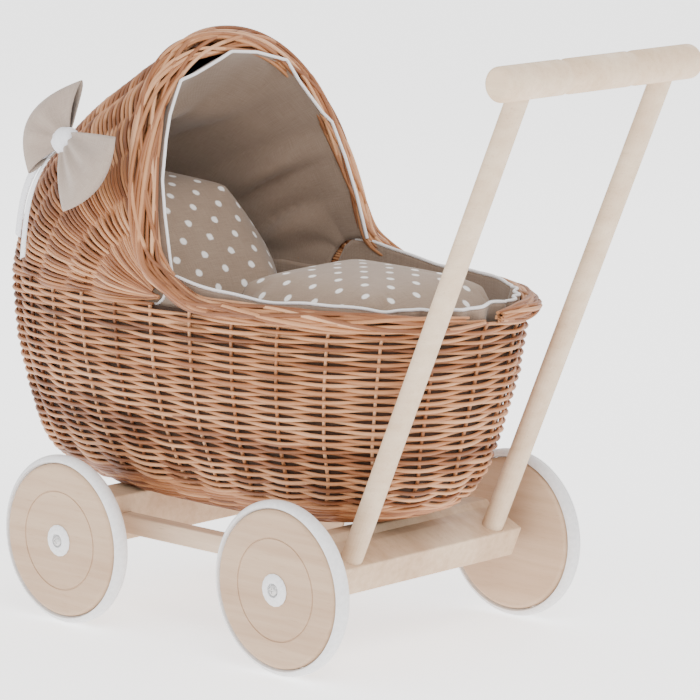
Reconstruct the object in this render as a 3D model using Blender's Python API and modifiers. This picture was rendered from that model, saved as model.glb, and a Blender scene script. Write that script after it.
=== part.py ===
# Wicker doll stroller: a wooden chassis on four plywood wheels, a woven tub with a fixed hood,
# a fabric lining with bedding, and a ribbon bow tied to the left side of the hood.
# Metres, +Z up. +X points to the pusher's end, where the handle is; -Y is the pusher's left.
# Lengths along X are given from the middle of the wheelbase, and the parent empty moves the
# whole stroller so that the origin is on the floor under the middle of its overall box.

import math

import bmesh
import bpy
from mathutils import Matrix, Vector

# Fits
GAP = 0.0003            # between pieces that rest on or in each other
RUN = 0.0004            # between a wheel and what it turns on

# Chassis
WHEELBASE = 0.2835
AXLE_HEIGHT = 0.080     # the tyre's radius: the wheels stand on the floor
TRACK = 0.3112          # between the middle planes of the left and right tyres
BEAM_LENGTH = 0.246
REAR_BEAM_BOTTOM = 0.068
FRONT_BEAM_BOTTOM = 0.073
FRONT_BEAM_DEPTH = 0.044
BEAM_TOP = 0.117        # the basket stands on it
REAR_RIDGE = 0.0185     # flat strip under the basket
REAR_COVE = 0.016       # from the ledge forward to that strip
REAR_LEDGE = 0.030      # bevelled face that takes the posts
REAR_FACE = 0.029
RAIL_WIDTH = 0.016
RAIL_HEIGHT = 0.0174
RAIL_CENTRE = (0.100, 0.0909)   # out from the middle, and up
TENON = 0.010

# Handle
POST_RADIUS = 0.010
POST_SPREAD = 0.0945    # from the middle to a post's axis
POST_LEAN = math.radians(24.2)
POST_FOOT = (0.1695, 0.101)     # where a post's axis leaves the ledge
POST_LENGTH = 0.487     # from the ledge to the bar's axis
POST_SOCKET = 0.024
BAR_RADIUS = 0.0155
BAR_LENGTH = 0.258
BAR_SOCKET = 0.006      # a post's end stands this far short of the bar's axis
BAR_ROUND = 0.005
BAR_GROOVE = 0.0016

# Wheels
DISC_RADIUS = 0.0723
DISC_THICKNESS = 0.018
DISC_ROUND = 0.0045
DISC_BORE = 0.0063
GROOVE_RADIUS = 0.0465
GROOVE_DEPTH = 0.0010
TYRE_TUBE = 0.008
BUSH_FLANGE = 0.0150
BUSH_BARREL = 0.0060
BUSH_BORE = 0.0029
BUSH_HEIGHT = 0.0026
SCREW_RADIUS = 0.0025
SCREW_HEAD = 0.0053
SCREW_IN_BEAM = 0.036
SPACER_RADIUS = 0.0085

# Basket
TUB_X = -0.020          # widest section, and the line that the hood's rods fan from
TUB_BOTTOM = 0.1173
TUB_TOP = 0.314
BASE_FRONT, BASE_REAR, BASE_SIDE = 0.220, 0.160, 0.086
RIM_FRONT, RIM_REAR, RIM_SIDE = 0.313, 0.282, 0.148
OVAL = 2.35             # superellipse exponent of the tub and the hood
AROUND = 36             # facets round the tub
WALL = 0.0065
BASE_THICK = 0.006
RIM_WIDTH = 0.0125
RIM_HEIGHT = 0.0115
RIM_RISE = 0.014        # how much the rim climbs where it meets the hood
RIM_CLIMB = 0.110       # over this length
# How the tub bulges: share of its height, then how far front, rear and sides are from base to rim
TUB_BULGE = (
    (0.00, 0.00, 0.00, 0.00),
    (0.07, 0.58, 0.38, 0.17),
    (0.15, 0.77, 0.56, 0.34),
    (0.27, 0.83, 0.675, 0.535),
    (0.45, 0.89, 0.75, 0.765),
    (0.70, 0.975, 0.87, 0.945),
    (1.00, 1.00, 1.00, 1.00),
)

# Hood: reach from the fan line and half width, at each angle up from the rim's front half
HOOD_REACH = ((0.0, RIM_FRONT, RIM_SIDE), (17.7, 0.2886, 0.150), (35.2, 0.2583, 0.150),
              (52.8, 0.2416, 0.148), (71.0, 0.2440, 0.145))
ARCH_FOOT = 0.008       # the arch stands this far in front of the fan line
ARCH_LEAN = 0.27        # and leans to the front as it rises
ARCH_HEIGHT = 0.227
ARCH_SIDE = 0.143
ARCH_LONG = 0.0135      # half axes of the bundle of rods that edges the hood
ARCH_SHORT = 0.0075
ARCH_TILT = math.radians(51)
HOOD_TO_ARCH = 0.0060   # between the shell's front edge and that bundle
HOOD_FOOT = 0.040       # the shell stops this near to the fan line

# Soft goods
LINING = 0.002
LINING_SLACK = 0.001    # between the tub's wall and the lining
LINING_LIFT = 0.0105    # and it clears the screws in the base by this
HOOD_LINING = 0.003
HOOD_LINING_BACK = 0.0095
HOOD_LINING_FRONT = 0.0250
LINING_FORWARD = 0.011
PIPING_RADIUS = 0.0016
PIPING_RISE = 0.013     # the basket lining stands this far above the tub's wall
LINING_TUCK = 0.0015    # and ends this far below it under the hood
MATTRESS_TOP = 0.213
PILLOW_HALF = (0.100, 0.108, 0.040)
PILLOW_CENTRE = (-0.140, 0.0, 0.324)
PILLOW_LEAN = math.radians(-51)
DUVET_HALF = (0.130, 0.118, 0.067)
DUVET_CENTRE = (0.094, 0.0, 0.282)

# Bow: the knot, then the two outer corners of each loop
KNOT = Vector((-0.158, -0.126, 0.451))
KNOT_HALF = (0.015, 0.011, 0.013)
UPPER_LOOP = (Vector((-0.177, -0.094, 0.497)), Vector((-0.228, -0.112, 0.408)))
LOWER_LOOP = (Vector((-0.081, -0.146, 0.462)), Vector((-0.142, -0.152, 0.391)))
LOOP_THICK = 0.013
TAIL_ENDS = (Vector((-0.252, -0.118, 0.352)), Vector((-0.238, -0.126, 0.334)))
TAIL_WIDTH = 0.009
TAIL_THICK = 0.0012

# Screws that hold the basket down to the beams
BASKET_SCREW_SPREAD = {"front": 0.045, "rear": 0.018}     # out from the middle
REAR_SCREW_BACK = 0.0045    # behind the rear beam's front face
BASKET_SCREW_SHANK = 0.002
BASKET_SCREW_HEAD = 0.006
BASKET_SCREW_REACH = 0.022

SIDES = (("left", -1), ("right", 1))
ENDS = (("front", -1), ("rear", 1))

COLOURS = {  # base colour, roughness, metallic
    "beech": ((0.62, 0.45, 0.29), 0.55, 0.0),
    "birch_ply": ((0.55, 0.39, 0.27), 0.55, 0.0),
    "white_rubber": ((0.80, 0.80, 0.82), 0.55, 0.0),
    "white_plastic": ((0.85, 0.85, 0.87), 0.35, 0.0),
    "steel": ((0.60, 0.60, 0.60), 0.30, 1.0),
    "willow": ((0.42, 0.20, 0.09), 0.50, 0.0),
    "linen": ((0.33, 0.26, 0.20), 0.90, 0.0),
    "dotted_cotton": ((0.28, 0.21, 0.16), 0.90, 0.0),
    "ticking": ((0.70, 0.68, 0.63), 0.90, 0.0),
    "white_tape": ((0.85, 0.84, 0.86), 0.70, 0.0),
}


def clear_scene():
    for obj in list(bpy.data.objects):
        bpy.data.objects.remove(obj, do_unlink=True)


def add_collection(name):
    made = bpy.data.collections.new(name)
    bpy.context.scene.collection.children.link(made)
    return made


def material(name):
    if name in bpy.data.materials:
        return bpy.data.materials[name]
    colour, roughness, metallic = COLOURS[name]
    made = bpy.data.materials.new(name)
    made.use_nodes = True
    shader = made.node_tree.nodes["Principled BSDF"]
    shader.inputs["Base Color"].default_value = (*colour, 1.0)
    shader.inputs["Roughness"].default_value = roughness
    shader.inputs["Metallic"].default_value = metallic
    return made


clear_scene()
parts = add_collection("doll_stroller")
cutters = add_collection("cutters")
# Its front end is the basket's nose and its rear end is the handle bar
bar_x = POST_FOOT[0] + POST_LENGTH * math.sin(POST_LEAN)
bar_z = POST_FOOT[1] + POST_LENGTH * math.cos(POST_LEAN)
middle_x = ((TUB_X - RIM_FRONT) + (bar_x + BAR_RADIUS)) / 2
stand = bpy.data.objects.new("stroller", None)
stand.location.x = -middle_x
parts.objects.link(stand)


def place(name, mesh, colour, location=(0, 0, 0), rotation=(0, 0, 0), smooth=True):
    """Makes the object of one piece and hangs it on the stroller's empty."""
    obj = bpy.data.objects.new(name, mesh)
    obj.location = location
    obj.rotation_euler = rotation
    obj.parent = stand
    mesh.materials.append(material(colour))
    parts.objects.link(obj)
    if smooth:
        mesh.shade_smooth()
        mesh.set_sharp_from_angle(angle=math.radians(40))
    return obj


def place_cutter(name, mesh, location=(0, 0, 0), rotation=(0, 0, 0)):
    obj = bpy.data.objects.new(name, mesh)
    obj.location = location
    obj.rotation_euler = rotation
    obj.parent = stand
    obj.hide_render = True
    obj.display_type = "WIRE"
    cutters.objects.link(obj)
    return obj


def cut(obj, cutter):
    modifier = obj.modifiers.new("cut " + cutter.name, "BOOLEAN")
    modifier.operation = "DIFFERENCE"
    modifier.object = cutter


def bevel(obj, width, segments=2):
    modifier = obj.modifiers.new("bevel", "BEVEL")
    modifier.width = width
    modifier.segments = segments
    modifier.limit_method = "ANGLE"
    modifier.angle_limit = math.radians(40)


def mesh_from(bm, name):
    bmesh.ops.recalc_face_normals(bm, faces=bm.faces)
    mesh = bpy.data.meshes.new(name)
    bm.to_mesh(mesh)
    bm.free()
    return mesh


def box_mesh(name, size):
    bm = bmesh.new()
    bmesh.ops.create_cube(bm, size=1.0)
    bmesh.ops.scale(bm, vec=size, verts=bm.verts)
    return mesh_from(bm, name)


def rod_mesh(name, radius, low, high, segments=24):
    """A plain cylinder along its local Z, from low to high."""
    bm = bmesh.new()
    bmesh.ops.create_cone(bm, cap_ends=True, segments=segments, radius1=radius,
                          radius2=radius, depth=high - low)
    bmesh.ops.translate(bm, vec=(0, 0, (low + high) / 2), verts=bm.verts)
    return mesh_from(bm, name)


def turned(name, profile, colour, location, rotation=(0, 0, 0), steps=24, ring=False):
    """A profile of (radius, height) points turned about local Z, top to bottom on the outside.
    A ring's profile closes on itself, and any other starts and ends on the axis."""
    bm = bmesh.new()
    points = [bm.verts.new((radius, 0, height)) for radius, height in profile]
    for first, second in zip(points, points[1:]):
        bm.edges.new((first, second))
    if ring:
        bm.edges.new((points[-1], points[0]))
    mesh = bpy.data.meshes.new(name)
    bm.to_mesh(mesh)
    bm.free()
    obj = place(name, mesh, colour, location, rotation, smooth=False)
    screw = obj.modifiers.new("turn", "SCREW")
    screw.steps = steps
    screw.render_steps = steps
    screw.use_merge_vertices = True
    screw.merge_threshold = 0.00001
    return obj


def loft(name, sections, colour, loop=False, location=(0, 0, 0)):
    """Skins closed sections of equally many points. An open run of them gets a cap at each end."""
    bm = bmesh.new()
    rows = [[bm.verts.new(point) for point in section] for section in sections]
    pairs = list(zip(rows, rows[1:]))
    if loop:
        pairs.append((rows[-1], rows[0]))
    count = len(rows[0])
    for near, far in pairs:
        for i in range(count):
            j = (i + 1) % count
            bm.faces.new((near[i], near[j], far[j], far[i]))
    if not loop:
        bm.faces.new(rows[0])
        bm.faces.new(rows[-1])
    return place(name, mesh_from(bm, name), colour, location)


def tube(name, points, radius, colour):
    """A round cord through the points, with closed ends."""
    curve = bpy.data.curves.new(name, "CURVE")
    curve.dimensions = "3D"
    curve.bevel_depth = radius
    curve.bevel_resolution = 1
    curve.use_fill_caps = True
    spline = curve.splines.new("POLY")
    spline.points.add(len(points) - 1)
    for point, target in zip(spline.points, points):
        point.co = (*target, 1.0)
    obj = bpy.data.objects.new(name, curve)
    obj.parent = stand
    curve.materials.append(material(colour))
    parts.objects.link(obj)
    return obj


def power(value, exponent):
    return math.copysign(abs(value) ** exponent, value)


def blend_rows(rows, key):
    """The values of a table's row at key, read between its rows."""
    for low, high in zip(rows, rows[1:]):
        if key <= high[0]:
            break
    share = min(max((key - low[0]) / (high[0] - low[0]), 0.0), 1.0)
    return [a + (b - a) * share for a, b in zip(low[1:], high[1:])]


def smooth_step(value):
    value = min(max(value, 0.0), 1.0)
    return value * value * (3 - 2 * value)


# The tub


def tub_point(turn, height, inset=0.0, lift=0.0):
    """A point on the tub's outside, at a turn from the rear end and a share of its height,
    moved in by inset and, near the base, up by lift."""
    front, rear, side = blend_rows(TUB_BULGE, height)
    reach_front = BASE_FRONT + (RIM_FRONT - BASE_FRONT) * front - inset
    reach_rear = BASE_REAR + (RIM_REAR - BASE_REAR) * rear - inset
    half = BASE_SIDE + (RIM_SIDE - BASE_SIDE) * side - inset
    reach = reach_rear if math.cos(turn) > 0 else reach_front
    x = TUB_X + reach * power(math.cos(turn), 2 / OVAL)
    y = half * power(math.sin(turn), 2 / OVAL)
    z = TUB_BOTTOM + (TUB_TOP - TUB_BOTTOM) * height + lift * (1 - height) ** 3
    return Vector((x, y, z))


def tub_ring(height, inset=0.0, lift=0.0, count=AROUND):
    return [tub_point(2 * math.pi * i / count, height, inset, lift) for i in range(count)]


def build_tub():
    heights = [row[0] for row in TUB_BULGE]
    sections = []
    for i in range(AROUND):
        turn = 2 * math.pi * i / AROUND
        outside = [tub_point(turn, height) for height in heights]
        inside = [tub_point(turn, height, WALL, WALL) for height in reversed(heights)]
        sections.append(outside + inside)
    loft("wicker_body", sections, "willow", loop=True)


def build_base():
    floor = TUB_BOTTOM + GAP
    low = tub_ring(0.0, WALL + 2 * GAP)
    for point in low:
        point.z = floor
    high = [point + Vector((0, 0, BASE_THICK)) for point in low]
    base = loft("wicker_base", [low, high], "willow")
    for end, x_sign in ENDS:
        for side, y_sign in SIDES:
            hole = rod_mesh("base_hole", BASKET_SCREW_SHANK + GAP, -0.01, 0.02, 16)
            at = (basket_screw_x(x_sign), y_sign * BASKET_SCREW_SPREAD[end], TUB_BOTTOM)
            cut(base, place_cutter(f"base_hole_{end}_{side}", hole, at))


def rim_top(x):
    """How far the rim's top stands above the tub's wall: it climbs towards the hood."""
    near = 1 - (x - TUB_X) / RIM_CLIMB
    return RIM_HEIGHT + RIM_RISE * max(near, 0.0) ** 2


def build_rim():
    """A bundle of plaited rods along the open part of the tub's top edge."""
    start = math.pi / 2 - 0.085
    sections = []
    for i in range(31):
        turn = start - 2 * start * i / 30
        outer = tub_point(turn, 1.0, -0.006)
        inner = tub_point(turn, 1.0, RIM_WIDTH - 0.006)
        out = (outer - inner) / 2
        middle = (outer + inner) / 2
        rise = rim_top(middle.x)
        section = []
        for across, up in ((-1, 0), (1, 0), (1, 0.65), (0.55, 1), (-0.55, 1), (-1, 0.65)):
            point = middle + out * across
            point.z = TUB_TOP + GAP + (rise - GAP) * up
            section.append(point)
        sections.append(section)
    loft("rim_border", sections, "willow")


# The hood


def hood_point(along, angle, inset=0.0):
    """A point on the hood's outside: along runs from the left foot (0) over the top to the right
    foot (pi), and angle is how far it has fanned up from the rim, in degrees."""
    reach, half = blend_rows(HOOD_REACH, angle)
    out = (reach - inset) * power(math.sin(along), 2 / OVAL)
    tilt = math.radians(angle)
    return Vector((TUB_X - out * math.cos(tilt), -(half - inset) * power(math.cos(along), 2 / OVAL),
                   TUB_TOP + GAP + out * math.sin(tilt)))


def arch_rise(along):
    return ARCH_HEIGHT * power(math.sin(along), 2 / OVAL)


def arch_angle(along, forward):
    """The fan angle, in degrees, of the arch's plane moved forward by some distance."""
    rise = arch_rise(along)
    back = ARCH_FOOT + ARCH_LEAN * rise - forward
    return math.degrees(math.atan2(rise, back))


def hood_alongs(count):
    """Evenly spread places over the hood, stopping short of both feet."""
    first = math.asin((HOOD_FOOT / ARCH_HEIGHT) ** (OVAL / 2))
    return [first + (math.pi - 2 * first) * i / (count - 1) for i in range(count)]


def build_hood():
    bundle_back = math.hypot(ARCH_LONG * math.cos(ARCH_TILT), ARCH_SHORT * math.sin(ARCH_TILT))
    sections = []
    for along in hood_alongs(27):
        last = arch_angle(along, -bundle_back - HOOD_TO_ARCH)
        angles = [last * i / 7 for i in range(8)]
        outside = [hood_point(along, angle) for angle in angles]
        inside = [hood_point(along, angle, WALL) for angle in reversed(angles)]
        sections.append(outside + inside)
    loft("wicker_hood", sections, "willow")


def arch_centre(along):
    rise = arch_rise(along)
    x = TUB_X - ARCH_FOOT - ARCH_LEAN * rise
    return Vector((x, -ARCH_SIDE * power(math.cos(along), 2 / OVAL), TUB_TOP + GAP + rise))


def build_hood_border():
    """The bundle of rods round the hood's opening: an oval section, its long way tilted
    between straight out and straight to the front."""
    sections = []
    back = Vector((-1, 0, 0))
    for i in range(37):
        along = math.pi * i / 36
        out = Vector((0, -power(math.cos(along), 2 - 2 / OVAL) / ARCH_SIDE,
                      power(math.sin(along), 2 - 2 / OVAL) / ARCH_HEIGHT)).normalized()
        long_axis = back * math.cos(ARCH_TILT) + out * math.sin(ARCH_TILT)
        short_axis = back * -math.sin(ARCH_TILT) + out * math.cos(ARCH_TILT)
        section = []
        for k in range(8):
            turn = 2 * math.pi * k / 8
            section.append(arch_centre(along) + long_axis * ARCH_LONG * math.cos(turn)
                           + short_axis * ARCH_SHORT * math.sin(turn))
        sections.append(section)
    loft("hood_border", sections, "willow")


# The chassis


def beam_end_x(x_sign):
    return x_sign * WHEELBASE / 2


def basket_screw_x(x_sign):
    """The screws go into the middle of the front beam and into the rear beam's flat ridge."""
    if x_sign < 0:
        return beam_end_x(-1)
    return rear_ridge_x() + REAR_SCREW_BACK


def rear_profile():
    """The rear beam's section, from the bottom rear edge round to the bottom front edge: a face
    along the posts, a ledge across them, a small cove and the flat ridge under the basket."""
    along_post = Vector((math.sin(POST_LEAN), math.cos(POST_LEAN)))
    across_post = Vector((-math.cos(POST_LEAN), math.sin(POST_LEAN)))
    foot = Vector(POST_FOOT)
    rear_top = foot - across_post * REAR_LEDGE * 0.42
    rear_bottom = rear_top - along_post * REAR_FACE
    rear_bottom.y = REAR_BEAM_BOTTOM
    cove_foot = rear_top + across_post * REAR_LEDGE
    cove_mid = cove_foot + Vector((-REAR_COVE * 0.62, (BEAM_TOP - cove_foot.y) * 0.33))
    ridge_rear = cove_foot + Vector((-REAR_COVE, BEAM_TOP - cove_foot.y))
    ridge_front = ridge_rear - Vector((REAR_RIDGE, 0))
    return [rear_bottom, rear_top, cove_foot, cove_mid, ridge_rear, ridge_front,
            Vector((ridge_front.x, REAR_BEAM_BOTTOM))]


def rear_ridge_x():
    return rear_profile()[5].x


def outline_solid(name, outline, thickness, colour):
    """A flat outline in X and Z, extruded evenly to both sides of the middle plane."""
    curve = bpy.data.curves.new(name, "CURVE")
    curve.dimensions = "2D"
    curve.fill_mode = "BOTH"
    curve.extrude = thickness / 2
    spline = curve.splines.new("POLY")
    spline.points.add(len(outline) - 1)
    for point, (x, z) in zip(spline.points, outline):
        point.co = (x, z, 0, 1)
    spline.use_cyclic_u = True
    drawn = bpy.data.objects.new(name + "_outline", curve)
    parts.objects.link(drawn)
    bpy.context.view_layer.update()
    graph = bpy.context.evaluated_depsgraph_get()
    mesh = bpy.data.meshes.new_from_object(drawn.evaluated_get(graph))
    bpy.data.objects.remove(drawn)
    bm = bmesh.new()
    bm.from_mesh(mesh)
    bmesh.ops.remove_doubles(bm, verts=bm.verts, dist=0.00001)
    bmesh.ops.recalc_face_normals(bm, faces=bm.faces)
    bm.to_mesh(mesh)
    bm.free()
    mesh.name = name
    mesh.materials.clear()
    return place(name, mesh, colour, (0, 0, 0), (math.pi / 2, 0, 0), smooth=False)


def build_beams():
    front_x = beam_end_x(-1)
    height = BEAM_TOP - FRONT_BEAM_BOTTOM
    front = place("front_beam", box_mesh("front_beam", (FRONT_BEAM_DEPTH, BEAM_LENGTH, height)),
                  "beech", (front_x, 0, (BEAM_TOP + FRONT_BEAM_BOTTOM) / 2), smooth=False)
    rear = outline_solid("rear_beam", rear_profile(), BEAM_LENGTH, "beech")
    for beam in (front, rear):
        bevel(beam, 0.0015)
    rail_room = (RAIL_WIDTH + 2 * GAP, RAIL_HEIGHT + 2 * GAP)
    front_face = front_x + FRONT_BEAM_DEPTH / 2
    rear_face = rear_ridge_x()
    for beam, face, turn in ((front, front_face, -1), (rear, rear_face, 1)):
        for side, y_sign in SIDES:
            room = box_mesh("mortise", (2 * (TENON + GAP), *rail_room))
            at = (face, y_sign * RAIL_CENTRE[0], RAIL_CENTRE[1])
            cut(beam, place_cutter(f"mortise_{beam.name}_{side}", room, at))
    for side, y_sign in SIDES:
        reach = Vector((math.sin(POST_LEAN), 0, math.cos(POST_LEAN)))
        socket = rod_mesh("post_socket", POST_RADIUS + GAP, -POST_SOCKET - GAP, 0.03)
        at = (POST_FOOT[0], y_sign * POST_SPREAD, POST_FOOT[1])
        cut(rear, place_cutter("post_socket_" + side, socket, at, (0, POST_LEAN, 0)))
    for beam, (end, x_sign) in ((front, ENDS[0]), (rear, ENDS[1])):
        for side, y_sign in SIDES:
            hole = rod_mesh("axle_hole", SCREW_RADIUS + GAP, -SCREW_IN_BEAM - 0.002, 0.01, 20)
            at = (beam_end_x(x_sign), y_sign * BEAM_LENGTH / 2, AXLE_HEIGHT)
            turn = (-y_sign * math.pi / 2, 0, 0)
            cut(beam, place_cutter(f"axle_hole_{end}_{side}", hole, at, turn))
            hole = rod_mesh("screw_hole", BASKET_SCREW_SHANK + GAP, -BASKET_SCREW_REACH - 0.002,
                            0.01, 16)
            at = (basket_screw_x(x_sign), y_sign * BASKET_SCREW_SPREAD[end], BEAM_TOP)
            cut(beam, place_cutter(f"screw_hole_{end}_{side}", hole, at))


def build_rails():
    start = beam_end_x(-1) + FRONT_BEAM_DEPTH / 2 - TENON
    end = rear_ridge_x() + TENON
    for side, y_sign in SIDES:
        mesh = box_mesh("rail", (end - start, RAIL_WIDTH, RAIL_HEIGHT))
        at = ((start + end) / 2, y_sign * RAIL_CENTRE[0], RAIL_CENTRE[1])
        rail = place("rail_" + side, mesh, "beech", at, smooth=False)
        bevel(rail, 0.0012)


def build_handle():
    for side, y_sign in SIDES:
        mesh = rod_mesh("post", POST_RADIUS, -POST_SOCKET, POST_LENGTH - BAR_SOCKET)
        at = (POST_FOOT[0], y_sign * POST_SPREAD, POST_FOOT[1])
        place("handle_post_" + side, mesh, "beech", at, (0, POST_LEAN, 0))
    half = BAR_LENGTH / 2
    profile = [(0.0, half), (BAR_RADIUS - BAR_ROUND, half)]
    for i in range(1, 5):
        turn = math.pi / 2 * i / 4
        profile.append((BAR_RADIUS - BAR_ROUND * (1 - math.sin(turn)),
                        half - BAR_ROUND * (1 - math.cos(turn))))
    for place_along in (BAR_LENGTH / 6, -BAR_LENGTH / 6):
        profile += [(BAR_RADIUS, place_along + 0.0015), (BAR_RADIUS - BAR_GROOVE, place_along),
                    (BAR_RADIUS - BAR_GROOVE * 0.6, place_along - 0.003),
                    (BAR_RADIUS, place_along - 0.009)]
    for i in range(4, 0, -1):
        turn = math.pi / 2 * i / 4
        profile.append((BAR_RADIUS - BAR_ROUND * (1 - math.sin(turn)),
                        -half + BAR_ROUND * (1 - math.cos(turn))))
    profile += [(BAR_RADIUS - BAR_ROUND, -half), (0.0, -half)]
    bar = turned("handle_bar", profile, "beech", (bar_x, 0, bar_z), (math.pi / 2, 0, 0))
    for side, y_sign in SIDES:
        socket = rod_mesh("bar_socket", POST_RADIUS + GAP, -0.03, -BAR_SOCKET + GAP)
        at = (bar_x, y_sign * POST_SPREAD, bar_z)
        cut(bar, place_cutter("bar_socket_" + side, socket, at, (0, POST_LEAN, 0)))


# The wheels. Each piece is turned about local Z, which points out of the stroller, and its
# origin is on the axle at the wheel's middle plane.


def disc_profile():
    half = DISC_THICKNESS / 2
    corner = DISC_RADIUS - DISC_ROUND
    groove = [(GROOVE_RADIUS - 0.0015, half), (GROOVE_RADIUS, half - GROOVE_DEPTH),
              (GROOVE_RADIUS + 0.0015, half)]
    profile = [(DISC_BORE, half)] + groove
    for i in range(3):
        turn = math.pi / 2 * i / 2
        profile.append((corner + DISC_ROUND * math.sin(turn),
                        half - DISC_ROUND * (1 - math.cos(turn))))
    for i in range(3):
        turn = math.pi / 2 * i / 2
        profile.append((corner + DISC_ROUND * math.cos(turn),
                        -half + DISC_ROUND * (1 - math.sin(turn))))
    profile.append((DISC_BORE, -half))
    return profile


def tyre_profile():
    """Round outside, and a seat that follows the disc's rounded edge."""
    middle = AXLE_HEIGHT - TYRE_TUBE
    profile = []
    for i in range(7):
        turn = math.radians(97 - 194 * i / 6)
        profile.append((middle + TYRE_TUBE * math.cos(turn), TYRE_TUBE * math.sin(turn)))
    corner = (DISC_RADIUS - DISC_ROUND, DISC_THICKNESS / 2 - DISC_ROUND)
    seat = DISC_ROUND + GAP
    for up, degrees in ((-1, 48), (-1, 90), (1, 90), (1, 48)):
        turn = math.radians(degrees)
        profile.append((corner[0] + seat * math.sin(turn), up * (corner[1] + seat * math.cos(turn))))
    return profile


def bush_profile():
    face = DISC_THICKNESS / 2 + GAP
    return [(BUSH_BORE, face + 0.0004), (SCREW_HEAD + 0.0009, face + 0.0004),
            (SCREW_HEAD + 0.0013, face + BUSH_HEIGHT), (BUSH_FLANGE - 0.005, face + BUSH_HEIGHT),
            (BUSH_FLANGE - 0.001, face + 0.0014), (BUSH_FLANGE, face + 0.0006),
            (BUSH_FLANGE, face), (BUSH_BARREL, face), (BUSH_BARREL, -DISC_THICKNESS / 2),
            (BUSH_BORE, -DISC_THICKNESS / 2)]


def screw_profile():
    """A pan head over the bush, and a shank through it and the spacer into the beam."""
    seat = DISC_THICKNESS / 2 + GAP + 0.0004 + RUN
    tip = -(TRACK / 2 - BEAM_LENGTH / 2) - SCREW_IN_BEAM
    return [(0.0, seat + 0.0030), (SCREW_HEAD * 0.55, seat + 0.0026),
            (SCREW_HEAD * 0.88, seat + 0.0017), (SCREW_HEAD, seat + 0.0007), (SCREW_HEAD, seat),
            (SCREW_RADIUS, seat), (SCREW_RADIUS, tip + 0.005), (0.0, tip)]


def spacer_profile():
    top = -DISC_THICKNESS / 2 - RUN
    bottom = -(TRACK / 2 - BEAM_LENGTH / 2) + GAP
    return [(SCREW_RADIUS + GAP, top), (SPACER_RADIUS - 0.001, top), (SPACER_RADIUS, top - 0.001),
            (SPACER_RADIUS, bottom), (SCREW_RADIUS + GAP, bottom)]


def build_wheels():
    for end, x_sign in ENDS:
        for side, y_sign in SIDES:
            at = (beam_end_x(x_sign), y_sign * TRACK / 2, AXLE_HEIGHT)
            out = (-y_sign * math.pi / 2, 0, 0)
            where = f"{end}_{side}"
            turned("wheel_disc_" + where, disc_profile(), "birch_ply", at, out, 32, ring=True)
            turned("tyre_" + where, tyre_profile(), "white_rubber", at, out, 32, ring=True)
            turned("hub_bush_" + where, bush_profile(), "white_plastic", at, out, 16, ring=True)
            turned("axle_spacer_" + where, spacer_profile(), "white_plastic", at, out, 12, ring=True)
            screw = turned("axle_screw_" + where, screw_profile(), "steel", at, out, 12)
            head = DISC_THICKNESS / 2 + GAP + RUN + 0.0034
            for k in range(2):
                blade = box_mesh("cross", (0.0052, 0.0012, 0.003))
                cross = place_cutter(f"cross_{where}_{k}", blade, at, out)
                cross.matrix_local = (Matrix.Translation(at) @ Matrix.Rotation(out[0], 4, "X")
                                      @ Matrix.Translation((0, 0, head + 0.0006))
                                      @ Matrix.Rotation(math.pi / 2 * k, 4, "Z"))
                cut(screw, cross)


def build_basket_screws():
    top = TUB_BOTTOM + GAP + BASE_THICK + GAP
    for end, x_sign in ENDS:
        for side, y_sign in SIDES:
            at = (basket_screw_x(x_sign), y_sign * BASKET_SCREW_SPREAD[end], top)
            tip = BEAM_TOP - top - BASKET_SCREW_REACH
            profile = [(0.0, 0.0018), (BASKET_SCREW_HEAD * 0.5, 0.0018), (BASKET_SCREW_HEAD, 0.0008),
                       (BASKET_SCREW_HEAD, 0.0), (BASKET_SCREW_SHANK, 0.0),
                       (BASKET_SCREW_SHANK, tip + 0.004), (0.0, tip)]
            turned(f"basket_screw_{end}_{side}", profile, "steel", at, steps=12)


# Soft goods


def lining_top(x):
    """The basket lining stands above the rim behind the hood, and ends under the hood lining."""
    behind = smooth_step((x - TUB_X) / 0.02)
    return (PIPING_RISE + rim_top(x) - RIM_HEIGHT + LINING_TUCK) * behind - LINING_TUCK


def lining_edge(inset):
    ring = tub_ring(1.0, inset)
    for point in ring:
        point.z += lining_top(point.x)
    return ring


def build_basket_lining():
    inset = WALL + LINING_SLACK
    heights = [row[0] for row in TUB_BULGE[:-1]]
    outside = [tub_ring(height, inset, LINING_LIFT) for height in heights]
    inside = [tub_ring(height, inset + LINING, LINING_LIFT + LINING) for height in reversed(heights)]
    tops = [lining_edge(inset), lining_edge(inset + LINING)]
    loft("basket_lining", outside + tops + inside, "linen")


def build_basket_piping():
    ring = lining_edge(WALL + LINING_SLACK + LINING / 2)
    quarter = AROUND // 4
    points = [ring[i] for i in range(1 - quarter, quarter)]
    points.insert(0, ring[1 - quarter].lerp(ring[-quarter], 0.7))
    points.append(ring[quarter - 1].lerp(ring[quarter], 0.7))
    lift = Vector((0, 0, PIPING_RADIUS + 2 * GAP))
    tube("basket_piping", [point + lift for point in points], PIPING_RADIUS, "white_tape")


def hood_lining_inset(share):
    """The lining leaves the shell near its front edge, to pass inside the bundle of rods."""
    step = smooth_step((share - 0.55) / 0.35)
    return HOOD_LINING_BACK + (HOOD_LINING_FRONT - HOOD_LINING_BACK) * step


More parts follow.
